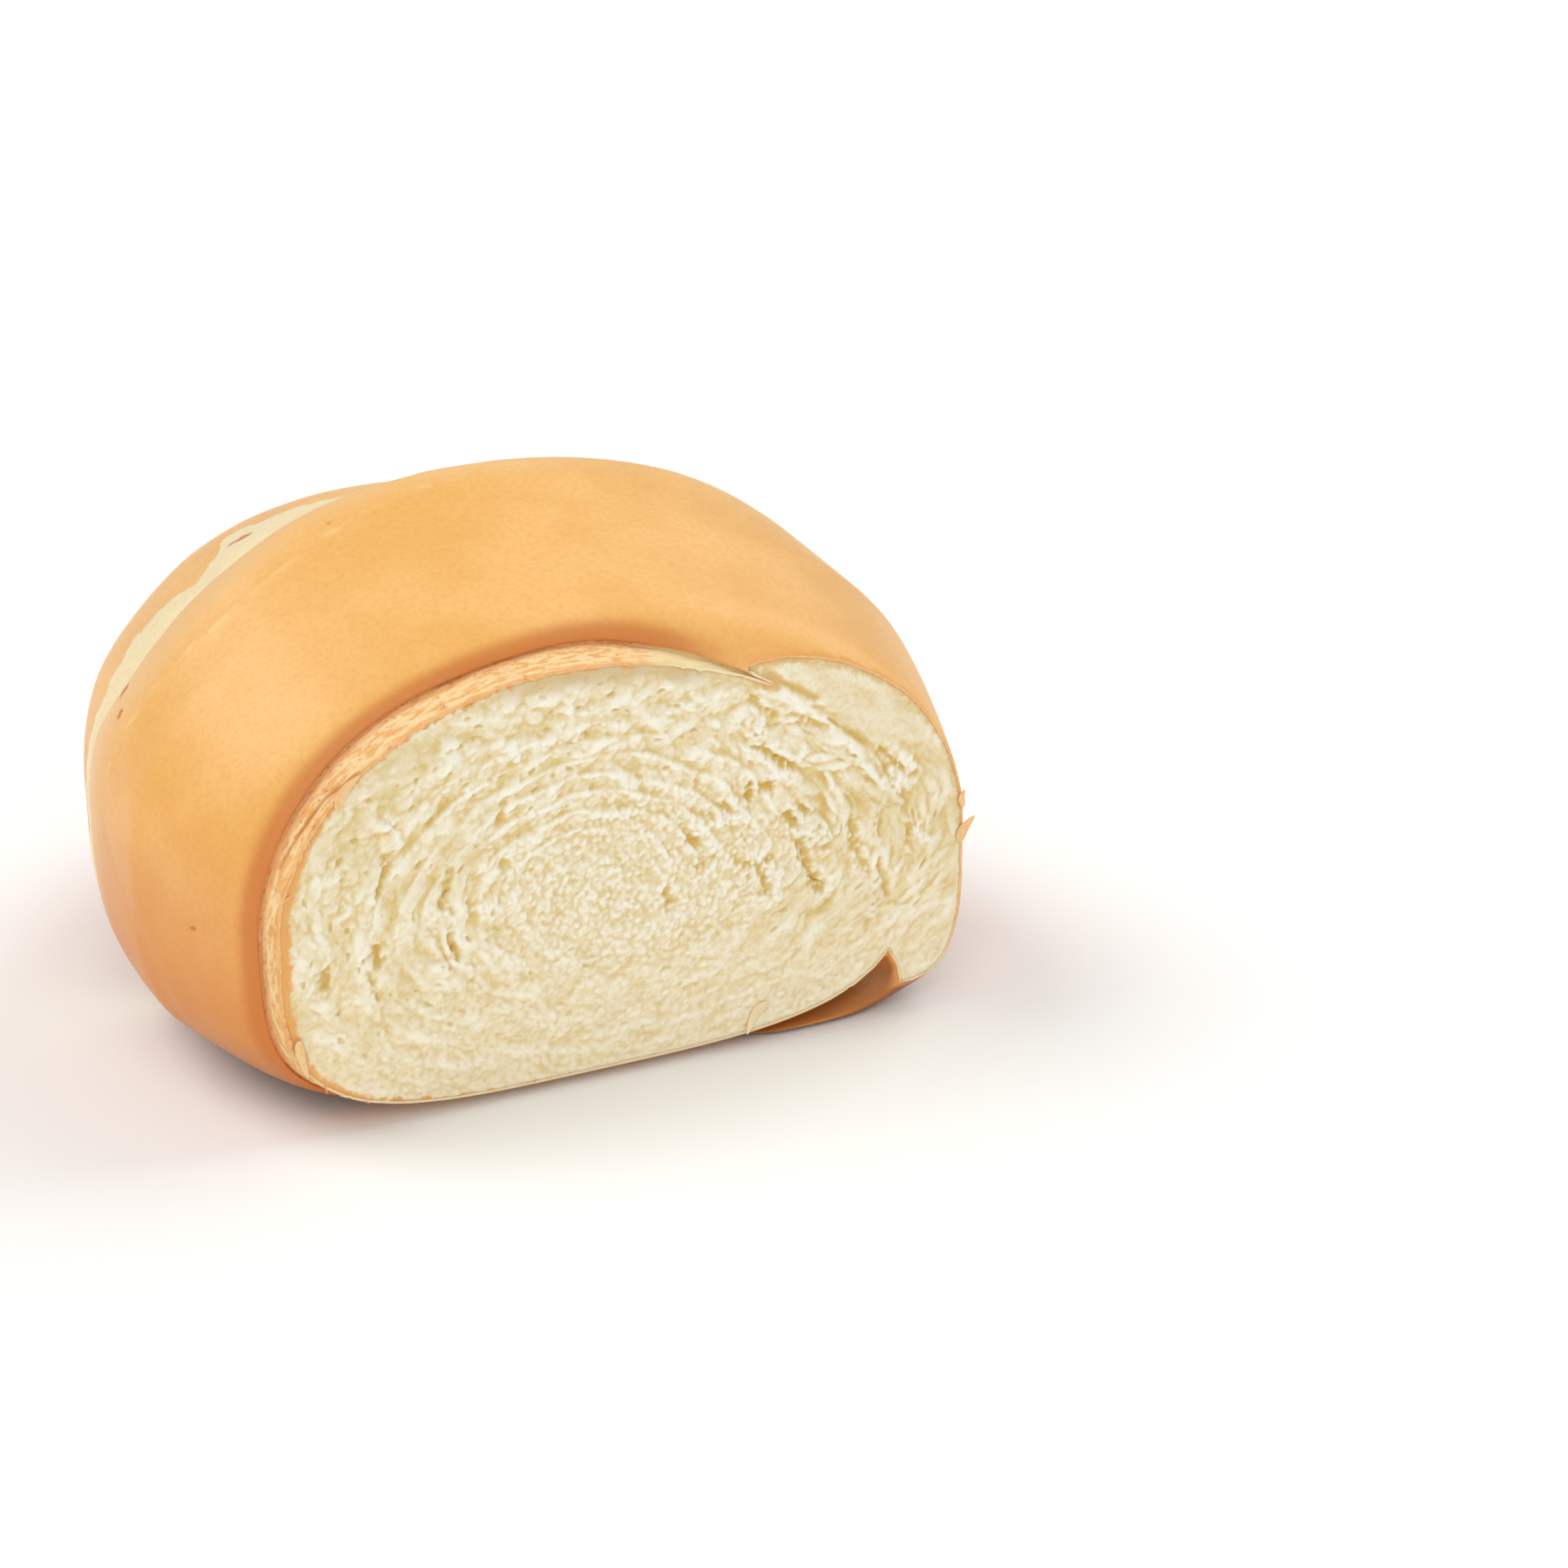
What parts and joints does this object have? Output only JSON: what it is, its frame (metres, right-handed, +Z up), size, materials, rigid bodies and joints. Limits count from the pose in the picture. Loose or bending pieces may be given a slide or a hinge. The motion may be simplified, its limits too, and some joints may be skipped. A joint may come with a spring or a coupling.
{
  "type": "rolled bread loaf",
  "caption": "Rolled white loaf with one end cut off: an oval spindle with a broad outer band, a rounded lip round the cut, a torn strip behind the band and a flat base.",
  "frame": {"origin": "middle of the outline box, on the flat base", "axes": "+Z up from the base, +X across the loaf to the right of the cut face, +Y from the cut face back to the tail"},
  "size_m": [0.1836, 0.1756, 0.1128],
  "materials": {
    "crust": "thin golden crust of white bread, satin, with a fine grain",
    "crumb": "torn cream crumb of white bread, soft and matte"
  },
  "bodies": {
    "root": {"loaf": "crust"}
  },
  "joints": []
}
